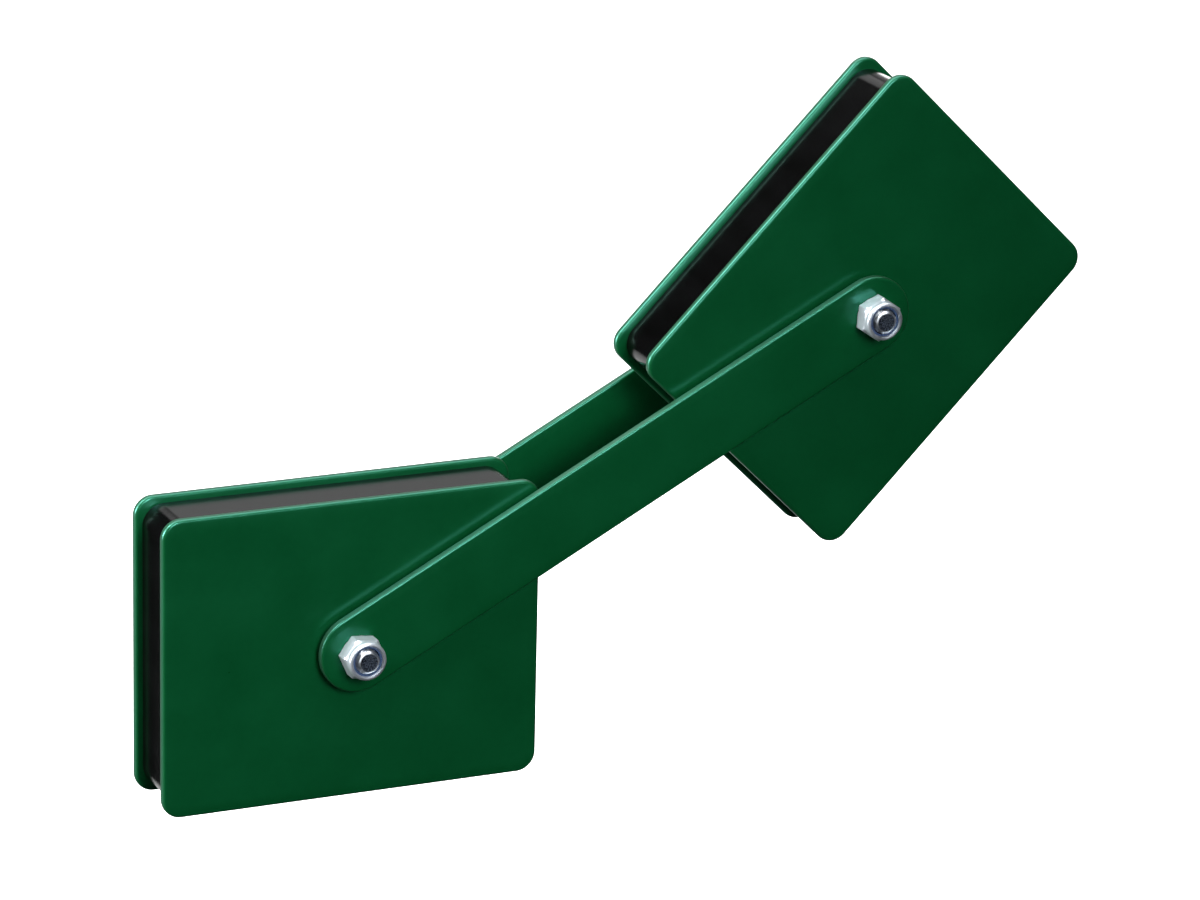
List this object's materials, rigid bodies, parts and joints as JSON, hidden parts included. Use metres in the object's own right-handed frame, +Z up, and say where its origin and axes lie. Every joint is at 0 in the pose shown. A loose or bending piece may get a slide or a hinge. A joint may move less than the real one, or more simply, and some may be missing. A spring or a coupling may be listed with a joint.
{
  "type": "welding magnet holder",
  "caption": "Adjustable welding magnet holder: rectangular magnet blocks that turn on bolts at the ends of a pair of flat link bars and clamp steel at any angle.",
  "frame": {"origin": "middle of the lower working edge of block A's front pole plate, which is held on the steel", "axes": "+Z up out of that steel, +X along the edge towards the link and block B, -Y towards the lock nuts; both blocks turn about axes parallel to Y"},
  "size_m": [0.1999, 0.0335, 0.1383],
  "materials": {
    "green_powder_coat": "satin",
    "black_moulding": "satin",
    "ferrite": "matte",
    "zinc_plate": "satin",
    "nylon": "satin"
  },
  "bodies": {
    "block_a": {"front_pole_plate_a": "green_powder_coat", "rear_pole_plate_a": "green_powder_coat", "core_frame_a": "black_moulding", "left_magnet_a": "ferrite", "right_magnet_a": "ferrite"},
    "link": {"front_link_bar": "green_powder_coat", "rear_link_bar": "green_powder_coat", "pivot_bolt_a": "zinc_plate", "lock_nut_a": "zinc_plate", "nylon_insert_a": "nylon", "front_washer_a": "zinc_plate", "rear_washer_a": "zinc_plate", "pivot_bolt_b": "zinc_plate", "lock_nut_b": "zinc_plate", "nylon_insert_b": "nylon", "front_washer_b": "zinc_plate", "rear_washer_b": "zinc_plate"},
    "block_b": {"front_pole_plate_b": "green_powder_coat", "rear_pole_plate_b": "green_powder_coat", "core_frame_b": "black_moulding", "left_magnet_b": "ferrite", "right_magnet_b": "ferrite"}
  },
  "joints": [
    {"name": "pivot_a", "type": "hinge", "parent": "block_a", "child": "link", "pos_m": [0, 0.008, 0.031], "axis": [0, -1, 0], "continuous": true},
    {"name": "pivot_b", "type": "hinge", "parent": "link", "child": "block_b", "pos_m": [0.11146, 0.008, 0.08976], "axis": [0, -1, 0], "continuous": true}
  ]
}
